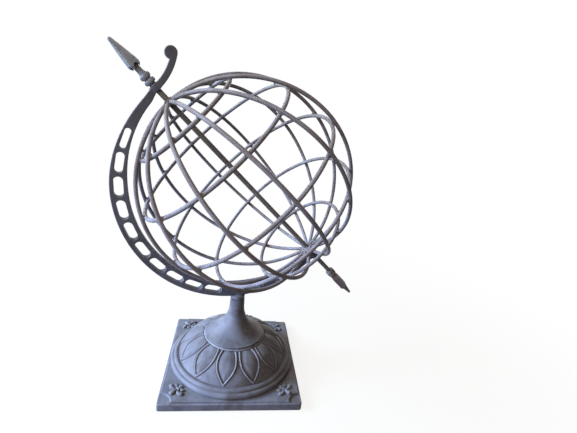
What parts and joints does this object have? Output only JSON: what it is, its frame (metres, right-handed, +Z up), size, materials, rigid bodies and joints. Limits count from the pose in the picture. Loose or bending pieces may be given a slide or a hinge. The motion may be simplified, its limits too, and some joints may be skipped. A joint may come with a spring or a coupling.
{
  "type": "armillary sphere",
  "caption": "Armillary sphere: a cage of rods and rings that spins on a tilted arrow, carried by a pierced arm that swivels on a petalled dome and a square plinth.",
  "frame": {"origin": "middle of the plinth's underside", "axes": "+Z up, +X along the plinth's front edge to the right, +Y away from the viewer"},
  "size_m": [0.4253, 0.3348, 0.5304],
  "materials": {
    "cast_iron": "dark slate, fine casting skin, satin",
    "wrought_bar": "dark slate blue-grey coating on round bar, satin",
    "fastening_steel": "plain steel, dull"
  },
  "bodies": {
    "base": {"plinth": "cast_iron", "petal_dome": "cast_iron", "stem": "cast_iron", "stem_bolt": "fastening_steel", "stem_washer": "fastening_steel", "plinth_screws": "fastening_steel", "arm_pivot": "fastening_steel"},
    "arm_and_arrow": {"arm": "cast_iron", "arm_grub_screw": "fastening_steel", "arrow_shaft": "wrought_bar", "arrow_head": "cast_iron", "arrow_tail": "cast_iron", "shaft_grub_screw": "fastening_steel", "thrust_washer": "fastening_steel"},
    "cage": {"north_hub": "wrought_bar", "south_hub": "wrought_bar", "meridian_rod_01": "wrought_bar", "meridian_rod_02": "wrought_bar", "meridian_rod_03": "wrought_bar", "meridian_rod_04": "wrought_bar", "meridian_rod_05": "wrought_bar", "meridian_rod_06": "wrought_bar", "meridian_rod_07": "wrought_bar", "meridian_rod_08": "wrought_bar", "meridian_rod_09": "wrought_bar", "meridian_rod_10": "wrought_bar", "meridian_rod_11": "wrought_bar", "meridian_rod_12": "wrought_bar", "north_polar_ring": "wrought_bar", "north_tropic_ring": "wrought_bar", "equator_ring": "wrought_bar", "south_tropic_ring": "wrought_bar", "south_polar_ring": "wrought_bar"}
  },
  "joints": [
    {"name": "arm_swivel", "type": "hinge", "parent": "base", "child": "arm_and_arrow", "pos_m": [0, 0, 0.1385], "axis": [0, 0, 1], "continuous": true},
    {"name": "globe_spin", "type": "hinge", "parent": "arm_and_arrow", "child": "cage", "pos_m": [0, 0, 0.3436], "axis": [-0.713, -0.1733, 0.6794], "continuous": true}
  ]
}
